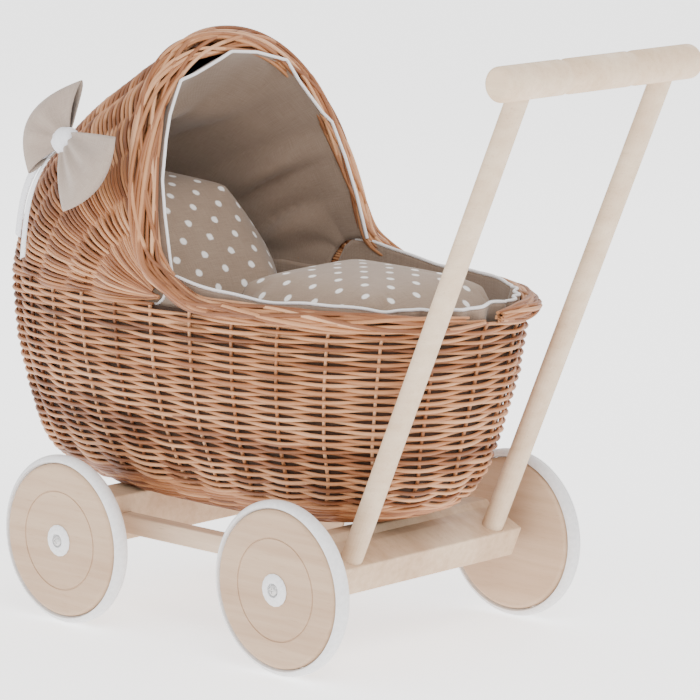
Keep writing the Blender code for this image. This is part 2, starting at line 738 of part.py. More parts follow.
def build_hood_lining():
    sections = []
    edge = []
    for along in hood_alongs(27):
        last = arch_angle(along, LINING_FORWARD)
        shares = [0.0, 0.2, 0.4, 0.55, 0.67, 0.78, 0.9, 1.0]
        outside = [hood_point(along, last * share, hood_lining_inset(share)) for share in shares]
        inside = [hood_point(along, last * share, hood_lining_inset(share) + HOOD_LINING)
                  for share in reversed(shares)]
        sections.append(outside + inside)
        ahead = arch_angle(along, LINING_FORWARD + PIPING_RADIUS + 2 * GAP)
        edge.append(hood_point(along, ahead, HOOD_LINING_FRONT + HOOD_LINING / 2))
    loft("hood_lining", sections, "linen")
    tube("hood_piping", edge, PIPING_RADIUS, "white_tape")


def build_mattress():
    inset = WALL + LINING_SLACK + LINING + 0.0015
    lift = LINING_LIFT + LINING + 0.0008
    heights = [row[0] for row in TUB_BULGE[:4]]
    rings = [tub_ring(height, inset, lift) for height in heights]
    for drop, extra in ((0.010, 0.0005), (0.003, 0.004), (0.0, 0.012)):
        crown = (MATTRESS_TOP - drop - TUB_BOTTOM) / (TUB_TOP - TUB_BOTTOM)
        rings.append(tub_ring(crown, inset + extra))
    loft("mattress", rings, "ticking")


def cushion(name, half, squareness, colour, location, rotation, u_steps=24):
    """A plump cushion: a ball whose middle stays round and whose outline is squared off."""
    bm = bmesh.new()
    bmesh.ops.create_uvsphere(bm, u_segments=u_steps, v_segments=u_steps // 2, radius=1.0)
    for vert in bm.verts:
        across = math.hypot(vert.co.x, vert.co.y)
        if across > 1e-6:
            turn = math.atan2(vert.co.y, vert.co.x)
            vert.co.x = across * power(math.cos(turn), squareness)
            vert.co.y = across * power(math.sin(turn), squareness)
        vert.co.z = power(vert.co.z, 0.85)
    bmesh.ops.scale(bm, vec=half, verts=bm.verts)
    return place(name, mesh_from(bm, name), colour, location, rotation)


def build_bedding():
    cushion("pillow", PILLOW_HALF, 0.75, "dotted_cotton", PILLOW_CENTRE, (0, -PILLOW_LEAN, 0))
    cushion("duvet", DUVET_HALF, 2 / OVAL, "dotted_cotton", DUVET_CENTRE, (0, 0, 0))


def build_loop(name, corners):
    """One loop of the bow: a soft wedge that opens out from the knot to its outer edge."""
    middle = (corners[0] + corners[1]) / 2
    length = (middle - KNOT).normalized()
    width = (corners[0] - corners[1]).normalized()
    depth = length.cross(width).normalized()
    start = KNOT + length * (KNOT_HALF[0] + 0.003)
    half_start = 0.006
    sections = []
    for share, spread, thick in ((0.0, 0.0, 0.5), (0.3, 0.38, 0.8), (0.65, 0.75, 1.0),
                                 (0.92, 0.98, 0.8), (1.0, 1.0, 0.35)):
        centre = start.lerp(middle, share)
        half = half_start + ((corners[0] - corners[1]).length / 2 - half_start) * spread
        half_depth = LOOP_THICK / 2 * thick
        section = []
        for k in range(12):
            turn = 2 * math.pi * k / 12
            section.append(centre + width * half * power(math.cos(turn), 0.8)
                           + depth * half_depth * power(math.sin(turn), 0.8))
        sections.append(section)
    loft(name, sections, "linen")


def build_bow():
    build_loop("bow_loop_upper", UPPER_LOOP)
    build_loop("bow_loop_lower", LOWER_LOOP)
    facing = (UPPER_LOOP[0] - UPPER_LOOP[1]).cross(LOWER_LOOP[0] - UPPER_LOOP[0]).normalized()
    turn = facing.to_track_quat("Z", "Y").to_euler()
    cushion("bow_knot", KNOT_HALF, 0.85, "white_tape", KNOT, turn, 14)
    for i, tail_end in enumerate(TAIL_ENDS):
        start = KNOT + Vector((-0.012, -0.003, -0.015)) + Vector((0.012, -0.004, -0.003)) * i
        run = (tail_end - start).normalized()
        across = run.cross(Vector((0.42, 0.86, -0.30))).normalized() * TAIL_WIDTH / 2
        out = run.cross(across).normalized() * TAIL_THICK / 2
        sections = []
        for k in range(9):
            share = k / 8
            centre = start.lerp(tail_end, share)
            centre += Vector((-0.42, -0.86, 0.30)) * 0.010 * math.sin(math.pi * share)
            sections.append([centre + across + out, centre - across + out,
                             centre - across - out, centre + across - out])
        loft(f"ribbon_tail_{i + 1}", sections, "white_tape")


build_beams()
build_rails()
build_handle()
build_wheels()
build_tub()
build_base()
build_rim()
build_hood()
build_hood_border()
build_basket_screws()
build_basket_lining()
build_basket_piping()
build_hood_lining()
build_mattress()
build_bedding()
build_bow()
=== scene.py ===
import math
import random

import bmesh
import bpy
import numpy as np
from mathutils import Matrix, Vector


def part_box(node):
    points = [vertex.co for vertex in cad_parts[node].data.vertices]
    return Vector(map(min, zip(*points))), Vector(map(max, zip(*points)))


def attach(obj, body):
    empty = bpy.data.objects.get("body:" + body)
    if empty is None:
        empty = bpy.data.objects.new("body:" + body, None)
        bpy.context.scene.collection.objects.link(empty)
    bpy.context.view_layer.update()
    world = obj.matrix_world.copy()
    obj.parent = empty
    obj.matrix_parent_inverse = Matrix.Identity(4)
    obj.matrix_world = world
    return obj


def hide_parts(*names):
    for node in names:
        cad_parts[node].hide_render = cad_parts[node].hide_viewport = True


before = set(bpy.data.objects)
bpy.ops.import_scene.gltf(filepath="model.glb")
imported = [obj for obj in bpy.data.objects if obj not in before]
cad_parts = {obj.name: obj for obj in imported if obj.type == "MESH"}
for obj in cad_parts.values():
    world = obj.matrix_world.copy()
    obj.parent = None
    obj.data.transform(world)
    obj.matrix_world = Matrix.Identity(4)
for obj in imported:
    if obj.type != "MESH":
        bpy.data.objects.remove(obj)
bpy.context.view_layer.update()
random.seed(11)
body = "stroller"

tubLow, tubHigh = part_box("wicker_body")
barLow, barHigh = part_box("handle_bar")


class Value:
    # a node's output that can be used in sums
    def __init__(self, finish, socket):
        self.finish = finish
        self.socket = socket

    def maths(self, operation, first, second=0.0):
        return self.finish.node("ShaderNodeMath", {"operation": operation}, {0: first, 1: second})

    def __add__(self, other):
        return self.maths("ADD", self, other)

    def __radd__(self, other):
        return self.maths("ADD", other, self)

    def __sub__(self, other):
        return self.maths("SUBTRACT", self, other)

    def __rsub__(self, other):
        return self.maths("SUBTRACT", other, self)

    def __mul__(self, other):
        return self.maths("MULTIPLY", self, other)

    def __rmul__(self, other):
        return self.maths("MULTIPLY", other, self)

    def __truediv__(self, other):
        return self.maths("DIVIDE", self, other)

    def power(self, other):
        return self.maths("POWER", self, other)

    def least(self, other):
        return self.maths("MINIMUM", self, other)


class Finish:
    # one material, built from nodes around its Principled shader
    def __init__(self, name, **fixed):
        self.material = bpy.data.materials.new(name)
        self.material.use_nodes = True
        self.tree = self.material.node_tree
        self.shader = self.tree.nodes["Principled BSDF"]
        for socket, value in fixed.items():
            self.shader.inputs[socket.replace("_", " ")].default_value = value

    def node(self, kind, settings=None, inputs=None, output=0):
        made = self.tree.nodes.new(kind)
        for key, value in (settings or {}).items():
            if key == "stops":
                ramp = made.color_ramp.elements
                while len(ramp) < len(value):
                    ramp.new(0.5)
                for element, (place, colour) in zip(ramp, value):
                    element.position = place
                    element.color = (*colour, 1.0)
            else:
                setattr(made, key, value)
        for key, value in (inputs or {}).items():
            if isinstance(value, Value):
                self.tree.links.new(value.socket, made.inputs[key])
            else:
                made.inputs[key].default_value = value
        return Value(self, made.outputs[output])

    def objectPlace(self, scale=(1, 1, 1), turn=(0, 0, 0), shift=(0, 0, 0)):
        place = self.node("ShaderNodeTexCoord", output=3)
        return self.node("ShaderNodeMapping", {}, {0: place, "Scale": scale, "Rotation": turn,
                                                   "Location": shift})

    def attribute(self, name, output=2):
        return self.node("ShaderNodeAttribute", {"attribute_name": name}, output=output)

    def noise(self, place, scale, detail=3.0, rough=0.5):
        return self.node("ShaderNodeTexNoise", {}, {"Vector": place, "Scale": scale,
                                                    "Detail": detail, "Roughness": rough})

    def ramp(self, factor, stops):
        return self.node("ShaderNodeValToRGB", {"stops": stops}, {0: factor})

    def span(self, value, low, high, newLow=0.0, newHigh=1.0):
        return self.node("ShaderNodeMapRange", {}, {0: value, 1: low, 2: high, 3: newLow, 4: newHigh})

    def mix(self, factor, first, second, blend="MIX"):
        settings = {"data_type": "RGBA", "blend_type": blend}
        first, second = [c if isinstance(c, Value) else (*c, 1.0) for c in (first, second)]
        return self.node("ShaderNodeMix", settings, {0: factor, 6: first, 7: second}, 2)

    def vector(self, operation, first, second=None, output=0):
        inputs = {0: first} if second is None else {0: first, 1: second}
        return self.node("ShaderNodeVectorMath", {"operation": operation}, inputs, output)

    def join(self, x, y, z=0.0):
        return self.node("ShaderNodeCombineXYZ", {}, {0: x, 1: y, 2: z})

    def sine(self, value):
        return self.node("ShaderNodeMath", {"operation": "SINE"}, {0: value})

    def wear(self, colour=None, roughness=None, height=None, strength=0.3, distance=0.0005):
        if colour is not None:
            self.tree.links.new(colour.socket, self.shader.inputs["Base Color"])
        if roughness is not None:
            self.tree.links.new(roughness.socket, self.shader.inputs["Roughness"])
        if height is not None:
            bump = self.node("ShaderNodeBump", {}, {"Height": height, "Strength": strength,
                                                    "Distance": distance})
            self.tree.links.new(bump.socket, self.shader.inputs["Normal"])
        return self.material


def willowFinish(name, stops, slotShade=0.0):
    finish = Finish(name, Specular_IOR_Level=0.45)
    tone = finish.attribute("rodTone")
    along = finish.attribute("rodAlong")
    streak = finish.noise(finish.join(along * 22.0, tone * 90.0), 1.0, 4.0, 0.6)
    patch = finish.noise(finish.objectPlace(), 22.0, 2.0)
    fibre = finish.noise(finish.join(along * 120.0, tone * 50.0, 0.0), 3.0, 3.0)
    shade = tone * 0.62 + streak * 0.34 + patch * 0.30 - 0.14 + slotShade
    colour = finish.ramp(shade, stops)
    grain = finish.noise(finish.objectPlace((1, 1, 1)), 900.0, 2.0)
    colour = finish.mix(grain * 0.25, colour, (0.18, 0.075, 0.03))
    return finish.wear(colour, 0.40 + streak * 0.18, fibre * 0.6 + grain * 0.4, 0.25, 0.0004)


def woodFinish(name, pale, dark, turn=(0, 0, 0), shift=(0, 0, 0)):
    # the grain runs along X before the turn
    finish = Finish(name, Specular_IOR_Level=0.35)
    grain = finish.noise(finish.objectPlace((6, 130, 130), turn, shift), 1.0, 4.0, 0.6)
    broad = finish.noise(finish.objectPlace((2.2, 26, 26), turn, shift), 1.0, 3.0, 0.5)
    pores = finish.noise(finish.objectPlace((60, 900, 900), turn, shift), 1.0, 2.0, 0.5)
    shade = grain * 0.45 + broad * 0.60
    colour = finish.mix(finish.span(shade, 0.36, 0.70), pale, dark)
    flecks = finish.span(pores, 0.60, 0.74)
    colour = finish.mix(flecks * 0.35, colour, (0.36, 0.22, 0.12))
    return finish.wear(colour, finish.span(grain, 0.3, 0.7, 0.50, 0.62), grain + flecks * -0.5, 0.10, 0.0003)


def clothFinish(name, shade, deep, dots=None, weave=1900.0):
    # a plain weave with slubs, and printed dots where their pitch and radius are given
    finish = Finish(name, Roughness=0.9, Specular_IOR_Level=0.2, Sheen_Weight=0.25, Sheen_Roughness=0.5)
    where = finish.attribute("cloth", 1)
    warp = finish.noise(finish.node("ShaderNodeMapping", {}, {0: where, "Scale": (1400, 60, 1)}), 1.0, 2.0)
    weft = finish.noise(finish.node("ShaderNodeMapping", {}, {0: where, "Scale": (60, 1400, 1)}), 1.0, 2.0)
    patch = finish.noise(finish.objectPlace(), 30.0, 3.0)
    thread = warp * 0.5 + weft * 0.5
    colour = finish.mix(finish.span(thread * 0.8 + patch * 0.2, 0.36, 0.64), deep, shade)
    cross = finish.node("ShaderNodeSeparateXYZ", {}, {0: where})
    across = finish.sine(cross * weave)
    down = finish.sine(finish.node("ShaderNodeSeparateXYZ", {}, {0: where}, 1) * weave)
    if dots:
        pitch, radius = dots
        lattice = finish.vector("SCALE", where)
        lattice.socket.node.inputs["Scale"].default_value = 1.0 / pitch
        nearest = []
        for shift in (0.0, 0.5):
            cell = finish.vector("FRACTION", finish.vector("ADD", lattice, (shift, shift, 0.0)))
            cell = finish.vector("MULTIPLY", finish.vector("SUBTRACT", cell, (0.5, 0.5, 0.0)), (1, 1, 0))
            nearest.append(finish.vector("LENGTH", cell, output=1))
        ragged = finish.noise(where, 900.0, 2.0) * 0.03
        edge = nearest[0].least(nearest[1]) + ragged
        mask = finish.span(edge, radius / pitch + 0.03, radius / pitch - 0.01)
        colour = finish.mix(mask, colour, (0.88, 0.85, 0.82))
    return finish.wear(colour, None, across * down * 0.5 + thread, 0.35, 0.0003)


def plainFinish(name, colour, roughness, metallic=0.0, speckle=260.0, depth=0.06, **fixed):
    finish = Finish(name, Metallic=metallic, **fixed)
    fine = finish.noise(finish.objectPlace(), speckle, 3.0)
    broad = finish.noise(finish.objectPlace(), 9.0, 2.0)
    darker = tuple(c * 0.82 for c in colour)
    tint = finish.mix(finish.span(fine * 0.5 + broad * 0.5, 0.35, 0.65), darker, colour)
    sheen = finish.span(broad, 0.3, 0.7, roughness - 0.06, roughness + 0.06)
    return finish.wear(tint, sheen, fine, depth, 0.0003)


print("finishes")
willow = {"stops": ((0.0, (0.10, 0.032, 0.010)), (0.30, (0.26, 0.090, 0.030)), (0.55, (0.47, 0.205, 0.085)),
                    (0.80, (0.66, 0.355, 0.185)), (1.0, (0.80, 0.52, 0.33)))}
finishes = {
    "tub": willowFinish("willowTub", willow["stops"], -0.06),
    "hood": willowFinish("willowHood", willow["stops"], -0.05),
    "border": willowFinish("willowBorder", willow["stops"], 0.02),
    "stake": willowFinish("willowStake", willow["stops"], 0.04),
    "barWood": woodFinish("barWood", (0.80, 0.62, 0.44), (0.66, 0.46, 0.29), (0, 0, math.pi / 2)),
    "beamWood": woodFinish("beamWood", (0.70, 0.52, 0.35), (0.52, 0.34, 0.21), (0, 0, math.pi / 2),
                           (3, 1, 2)),
    "postWood": woodFinish("postWood", (0.74, 0.58, 0.42), (0.60, 0.43, 0.28),
                           (0, math.radians(65.8), 0), (2, 3, 1)),
    "railWood": woodFinish("railWood", (0.76, 0.60, 0.45), (0.58, 0.41, 0.28), (0, 0, 0), (1, 4, 2)),
    "ply": woodFinish("ply", (0.60, 0.43, 0.29), (0.46, 0.30, 0.19), (0, math.pi / 2, 0), (5, 2, 7)),
    # painted shade: a near-black brown for the sheets inside the weave, standing in for the shade between the
    # rods
    "shadeSheet": plainFinish("willowPaintedShade", (0.055, 0.024, 0.010), 0.8, 0.0, 300.0, 0.3),
    "rubber": plainFinish("whiteRubber", (0.84, 0.83, 0.83), 0.55),
    "plastic": plainFinish("whitePlastic", (0.84, 0.84, 0.85), 0.32, 0.0, 500.0, 0.03,
                           Specular_IOR_Level=0.5),
    "steel": plainFinish("zincSteel", (0.62, 0.61, 0.60), 0.34, 1.0, 900.0, 0.05),
    "lining": clothFinish("taupeLining", (0.33, 0.245, 0.185), (0.24, 0.17, 0.125)),
    "dotted": clothFinish("dottedCotton", (0.335, 0.245, 0.180), (0.25, 0.175, 0.125), dots=(0.031, 0.0034)),
    "ticking": clothFinish("ticking", (0.70, 0.66, 0.60), (0.58, 0.54, 0.48)),
    "bow": clothFinish("bowCotton", (0.40, 0.32, 0.265), (0.31, 0.24, 0.195)),
    "ribbon": clothFinish("whiteRibbon", (0.84, 0.84, 0.87), (0.74, 0.74, 0.78)),
    "piping": clothFinish("whitePiping", (0.84, 0.82, 0.82), (0.76, 0.73, 0.72)),
}


def place(name, mesh, finish, slot, replaced=(), rider=body, smoothAngle=None):
    piece = bpy.data.objects.new(name, mesh)
    bpy.context.scene.collection.objects.link(piece)
    mesh.materials.clear()
    mesh.materials.append(finishes[finish])
    mesh.shade_smooth()
    if smoothAngle:
        mesh.set_sharp_from_angle(angle=math.radians(smoothAngle))
    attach(piece, rider)
    if replaced:
        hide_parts(*replaced)
    return piece


def meshOf(bm, name):
    mesh = bpy.data.meshes.new(name)
    bm.to_mesh(mesh)
    bm.free()
    return mesh


def tubes(name, runs, finish, slot, replaced=(), rings=1):
    # each run is (points, radii): rods laid along curves, then one mesh that knows each rod's tone
    curve = bpy.data.curves.new(name, "CURVE")
    curve.dimensions = "3D"
    curve.bevel_depth = 1.0
    curve.bevel_resolution = rings
    curve.use_fill_caps = True
    for points, radii in runs:
        spline = curve.splines.new("POLY")
        spline.points.add(len(points) - 1)
        spline.points.foreach_set("co", np.c_[points, np.ones(len(points))].astype(np.float32).ravel())
        spline.points.foreach_set("radius", np.asarray(radii, np.float32))
    drawn = bpy.data.objects.new(name + "Drawn", curve)
    bpy.context.scene.collection.objects.link(drawn)
    bpy.context.view_layer.update()
    mesh = bpy.data.meshes.new_from_object(drawn.evaluated_get(bpy.context.evaluated_depsgraph_get()))
    bpy.data.objects.remove(drawn)
    sides = 4 + 2 * rings
    tones, along = [], []
    for points, radii in runs:
        run = np.r_[0.0, np.cumsum(np.linalg.norm(np.diff(points, axis=0), axis=1))]
        tones.append(np.full(len(points) * sides, random.random()))
        along.append(np.repeat(run + random.random() * 5, sides))
    print(name, len(runs), "rods")
    for label, values in (("rodTone", tones), ("rodAlong", along)):
        layer = mesh.attributes.new(label, "FLOAT", "POINT")
        flat = np.concatenate(values)
        full = np.resize(flat, len(mesh.vertices))
        layer.data.foreach_set("value", full.astype(np.float32))
    return place(name, mesh, finish, slot, replaced)


def gridMesh(name, columns, rows, shape, closed=False, cloth=None):
    # a sheet: shape gives the point at each (u, v) from 0 to 1
    bm = bmesh.new()
    bmesh.ops.create_grid(bm, x_segments=columns, y_segments=rows, size=0.5)
    spots = {}
    for vert in bm.verts:
        u, v = vert.co.x + 0.5, vert.co.y + 0.5
        vert.co = shape(u, v)
        spots[vert.index] = (u, v)
    mesh = meshOf(bm, name)
    layer = mesh.attributes.new("cloth", "FLOAT_VECTOR", "POINT")
    width, length = cloth or (1.0, 1.0)
    for i, (u, v) in spots.items():
        layer.data[i].vector = (u * width, v * length, 0.0)
    if closed:
        bm = bmesh.new()
        bm.from_mesh(mesh)
        bmesh.ops.remove_doubles(bm, verts=bm.verts, dist=0.00001)
        bmesh.ops.recalc_face_normals(bm, faces=bm.faces)
        bm.to_mesh(mesh)
        bm.free()
    return mesh


def solid(piece, thickness, offset=0.0):
    wall = piece.modifiers.new("thickness", "SOLIDIFY")
    wall.thickness = thickness
    wall.offset = offset


def power(value, exponent):
    return np.sign(value) * np.abs(value) ** exponent


def ease(value):
    value = np.clip(value, 0.0, 1.0)
    return value * value * (3 - 2 * value)


def unit(vectors):
    return vectors / np.maximum(np.linalg.norm(vectors, axis=-1, keepdims=True), 1e-9)


def wander(count, reach, seed):
    # a slow random drift, the same each run
    generator = np.random.default_rng(seed)
    knots = generator.normal(0, 1, max(int(count / reach) + 3, 3))
    return np.interp(np.linspace(0, len(knots) - 1, count), np.arange(len(knots)), knots)


def softened(table, samples=240, blur=10):
    # a table of rows read as smooth curves of its first column
    table = np.array(table, float)
    keys = np.linspace(table[0, 0], table[-1, 0], samples)
    kernel = np.ones(blur * 2 + 1) / (blur * 2 + 1)
    columns = []
    for column in table[:, 1:].T:
        values = np.interp(keys, table[:, 0], column)
        padded = np.pad(values, blur, mode="reflect", reflect_type="odd")
        columns.append(np.convolve(padded, kernel, "valid"))
    return keys, columns


tub = {
    "bottom": tubLow.z, "top": tubHigh.z, "fanX": tubLow.x + 0.313, "oval": 2.35,
    "baseFront": 0.220, "baseRear": 0.160, "baseSide": 0.086,
    "rimFront": 0.313, "rimRear": 0.282, "rimSide": 0.148,
    "bulge": ((0, 0, 0, 0), (0.04, 0.41, 0.26, 0.10), (0.08, 0.62, 0.41, 0.18), (0.15, 0.77, 0.56, 0.34),
              (0.245, 0.82, 0.66, 0.50), (0.42, 0.88, 0.74, 0.74), (0.675, 0.97, 0.86, 0.935),
              (0.93, 1, 0.945, 1), (1, 1, 1, 1)),
    "stakes": 29, "stakeX": 0.033, "stakeRadius": 0.0017, "wall": 0.0052,
}
tubKeys, tubCurves = softened(tub["bulge"], blur=7)


def tubPoint(turn, height, inset=0.0):
    turn, height = np.broadcast_arrays(np.asarray(turn, float), np.asarray(height, float))
    front, rear, side = [np.interp(height, tubKeys, column) for column in tubCurves]
    toFront = tub["baseFront"] + (tub["rimFront"] - tub["baseFront"]) * front - inset
    toRear = tub["baseRear"] + (tub["rimRear"] - tub["baseRear"]) * rear - inset
    half = tub["baseSide"] + (tub["rimSide"] - tub["baseSide"]) * side - inset
    share = 2 / tub["oval"]
    x = tub["fanX"] + np.where(np.cos(turn) > 0, toRear, toFront) * power(np.cos(turn), share)
    y = half * power(np.sin(turn), share)
    z = tub["bottom"] + (tub["top"] - tub["bottom"]) * height
    return np.stack([x, y, z], axis=-1)


def tubOut(turn, height):
    step = 0.004
    around = tubPoint(turn + step, height) - tubPoint(turn - step, height)
    up = tubPoint(turn, np.minimum(height + step, 1.0)) - tubPoint(turn, np.maximum(height - step, 0.0))
    return unit(np.cross(around, up))


# stakes stand evenly along the rim, so a place round the basket is a number of stakes
turnTable = np.linspace(0, 2 * math.pi, 4001)
rimRun = tubPoint(turnTable, 0.8)
rimLength = np.r_[0.0, np.cumsum(np.linalg.norm(np.diff(rimRun, axis=0), axis=1))]
stakeTable = rimLength / rimLength[-1] * tub["stakes"]
keyTurn = 1.5 * math.pi + math.acos(0) - math.acos((tub["stakeX"] / tub["rimRear"]) ** (tub["oval"] / 2))
keyStake = np.interp(keyTurn, turnTable, stakeTable) % 1.0


def turnAt(stake):
    return np.interp((stake + keyStake) % tub["stakes"], stakeTable, turnTable)


def stakeAt(turn):
    return np.interp(turn % (2 * math.pi), turnTable, stakeTable) - keyStake


tubWeave = {"radius": 0.00200, "sway": 0.0033, "pitch": 0.00415, "from": 0.10, "to": 0.995, "perStake": 6}
wale = {"radius": 0.0021, "sway": 0.0026, "rounds": 6, "from": 0.008, "to": 0.10}


def heightTable():
    heights = np.linspace(0, 1, 400)
    side, front = tubPoint(math.pi / 2, heights), tubPoint(math.pi, heights)
    rear = tubPoint(0.0, heights)
    steps = sum(np.linalg.norm(np.diff(line, axis=0), axis=1) * share
                for line, share in ((side, 0.6), (front, 0.2), (rear, 0.2)))
    return heights, np.r_[0.0, np.cumsum(steps)]


def tubRows():
    heights, climb = heightTable()
    start, stop = np.interp([tubWeave["from"], tubWeave["to"]], heights, climb)
    rounds = (stop - start) / tubWeave["pitch"]
    runs = []
    stake = 1.0
    total = rounds * tub["stakes"]
    seed = 0
    while stake < total - 6:
        last = min(stake + 2 * random.randint(10, 14), total)
        count = int((last - stake) * tubWeave["perStake"]) + 1
        places = np.linspace(stake, last, count)
        lift = wander(count, 14, seed) * 0.00035
        height = np.interp(start + places / tub["stakes"] * tubWeave["pitch"] + lift, climb, heights)
        turn = turnAt(places)
        sway = tubWeave["sway"] * (1 + 0.10 * wander(count, 10, seed + 500))
        out = sway * np.cos(math.pi * places)
        points = tubPoint(turn, height) + tubOut(turn, height) * (out - tub["wall"])[:, None]
        taper = np.linspace(1.06, 0.86, count) if seed % 2 else np.linspace(0.86, 1.06, count)
        runs.append((points, tubWeave["radius"] * taper * random.uniform(0.93, 1.05)))
        stake = last - 2
        seed += 1
    return runs


def waleRows():
    runs = []
    for ply in range(3):
        count = int(wale["rounds"] * tub["stakes"] * 6)
        places = np.linspace(0, wale["rounds"] * tub["stakes"], count)
        rise = np.linspace(0, 1, count) * (wale["to"] - wale["from"]) + wale["from"]
        height = rise + 0.004 * np.sin(2 * math.pi * (places + ply) / 3)
        turn = turnAt(places)
        out = wale["sway"] * (np.cos(2 * math.pi * (places + ply) / 3) * 0.9 + 0.2)
        points = tubPoint(turn, height) + tubOut(turn, height) * (out - tub["wall"])[:, None]
        cuts = [0] + [int(count * k / 9) + random.randint(-12, 12) for k in range(1, 9)] + [count]
        for first, end in zip(cuts, cuts[1:]):
            part = points[first:end + 3]
            runs.append((part, np.full(len(part), wale["radius"] * random.uniform(0.92, 1.05))))
    return runs


hood = {
    "reach": ((0.0, 0.313, 0.148), (17.7, 0.2886, 0.150), (35.2, 0.2583, 0.150), (52.8, 0.2416, 0.148),
              (85.0, 0.2450, 0.143)),
    "archFoot": 0.008, "archLean": 0.27, "archHeight": 0.227, "archSide": 0.143,
    "pitch": 0.0042, "radius": 0.00200, "sway": 0.0030, "behindArch": 0.008,
}
hoodKeys, hoodCurves = softened(hood["reach"], blur=16)


def hoodPoint(along, angle, inset=0.0):
    along, angle = np.broadcast_arrays(np.asarray(along, float), np.asarray(angle, float))
    reach, half = [np.interp(angle, hoodKeys, column) for column in hoodCurves]
    share = 2 / tub["oval"]
    out = (reach - inset) * power(np.sin(along), share)
    tilt = np.radians(angle)
    return np.stack([tub["fanX"] - out * np.cos(tilt), -(half - inset) * power(np.cos(along), share),
                     tub["top"] + out * np.sin(tilt)], axis=-1)


def hoodOut(along, angle):
    step = 0.004
    up = hoodPoint(along, angle + 0.3) - hoodPoint(along, angle - 0.3)
    over = hoodPoint(along + step, angle) - hoodPoint(along - step, angle)
    return unit(np.cross(up, over))


def archRise(along):
    return hood["archHeight"] * np.abs(np.sin(along)) ** (2 / tub["oval"])


def archAngle(along, forward):
    rise = archRise(along)
    return np.degrees(np.arctan2(rise, hood["archFoot"] + hood["archLean"] * rise - forward))


def archCentre(along):
    rise = archRise(along)
    x = tub["fanX"] - hood["archFoot"] - hood["archLean"] * rise
    y = -hood["archSide"] * power(np.cos(along), 2 / tub["oval"])
    return np.stack([x, y, tub["top"] + rise], axis=-1)


def hoodRows():
    angles = np.linspace(0, 84, 600)
    ridge = hoodPoint(math.pi / 2, angles)
    climb = np.r_[0.0, np.cumsum(np.linalg.norm(np.diff(ridge, axis=0), axis=1))]
    runs = []
    index = 0
    climbed = 0.002
    while climbed < climb[-1]:
        angle = np.interp(climbed, climb, angles)
        near = {0: 0.012, 1: 0.092, 2: 0.036, 3: 0.070}[index % 4] * random.uniform(0.88, 1.12)
        first = math.asin((near / 0.26) ** (tub["oval"] / 2))
        along = np.linspace(first, math.pi - first, 96)
        spread = wander(96, 16, 900 + index) * 0.12
        angleHere = angle + spread
        keep = angleHere < archAngle(along, -hood["behindArch"])
        if keep.sum() > 6:
            along, angleHere = along[keep], angleHere[keep]
            stake = stakeAt(1.5 * math.pi - along)
            tip = np.minimum(np.arange(len(along)), np.arange(len(along))[::-1]) / 5.0
            tuck = np.clip(1 - tip, 0, 1) * 0.004
            out = hood["sway"] * np.cos(math.pi * (stake + index)) - tub["wall"] - tuck
            points = hoodPoint(along, angleHere) + hoodOut(along, angleHere) * out[:, None]
            distance = 0.26 * np.sin(along) ** (2 / tub["oval"])
            radius = hood["radius"] * (0.66 + 0.34 * ease(distance / 0.20)) * random.uniform(0.93, 1.06)
            runs.append((points, radius))
        climbed += hood["pitch"]
        index += 1
    return runs


def stakeRuns():
    runs = []
    for index in range(tub["stakes"]):
        turn = float(turnAt(index))
        heights = np.linspace(0.0, 0.995, 30)
        points = tubPoint(turn, heights) - tubOut(np.full(30, turn), heights) * tub["wall"]
        if math.pi / 2 + 0.70 < turn < 1.5 * math.pi - 0.70:
            along = 1.5 * math.pi - turn
            angles = np.linspace(1.5, float(archAngle(along, -0.004)), 30)
            alongs = np.full(30, along)
            over = hoodPoint(alongs, angles) - hoodOut(alongs, angles) * (tub["wall"] + 0.001)
            points = np.r_[points, over]
        runs.append((points, np.full(len(points), tub["stakeRadius"])))
    return runs


# one bundle of rods goes round the rim and over the hood's mouth
border = {"samples": 900, "rods": 26, "radius": 0.0021, "archLong": 0.0125, "archShort": 0.0065,
          "rimLong": 0.0075, "rimShort": 0.0070, "rimLift": 0.0055, "tilt": math.radians(51), "soften": 0.020}


def borderLine():
    # centre line, long and short half axes, from the rear over the left side and the hood and back
    rimTurns = np.linspace(2 * math.pi, 1.5 * math.pi + 0.10, 160)
    rimRight = np.linspace(math.pi / 2 - 0.10, 0.0, 160)
    archAlongs = np.linspace(0.10, math.pi - 0.10, 240)
    middle = tubPoint(rimTurns, 1.0, 0.002)
    middle[:, 2] += border["rimLift"]
    outward = tubOut(rimTurns, np.full(160, 0.95))
    right = tubPoint(rimRight, 1.0, 0.002)
    right[:, 2] += border["rimLift"]
    outRight = tubOut(rimRight, np.full(160, 0.95))
    arch = archCentre(archAlongs)
    share = 2 / tub["oval"]
    out = np.stack([np.zeros(240), -power(np.cos(archAlongs), 2 - share) / hood["archSide"],
                    power(np.sin(archAlongs), 2 - share) / hood["archHeight"]], axis=-1)
    longAxis = np.array([-1.0, 0, 0]) * math.cos(border["tilt"]) + unit(out) * math.sin(border["tilt"])
    line = np.r_[middle, arch, right]
    axis = np.r_[outward, longAxis, outRight]
    long = np.r_[np.full(160, border["rimLong"]), np.full(240, border["archLong"]),
                 np.full(160, border["rimLong"])]
    short = np.r_[np.full(160, border["rimShort"]), np.full(240, border["archShort"]),
                  np.full(160, border["rimShort"])]
    run = np.r_[0.0, np.cumsum(np.linalg.norm(np.diff(line, axis=0), axis=1))]
    even = np.linspace(0, run[-1], border["samples"])
    pack = np.column_stack([line, axis, long, short])
    pack = np.column_stack([np.interp(even, run, column) for column in pack.T])
    blur = int(border["soften"] / (even[1] - even[0]))
    kernel = np.exp(-0.5 * (np.arange(-2 * blur, 2 * blur + 1) / blur * 1.4) ** 2)
    kernel /= kernel.sum()
    wide = np.r_[pack[-2 * blur - 1:-1], pack, pack[1:2 * blur + 1]]
    pack = np.column_stack([np.convolve(column, kernel, "valid") for column in wide.T])
    return even, pack[:, :3], unit(pack[:, 3:6]), pack[:, 6], pack[:, 7]


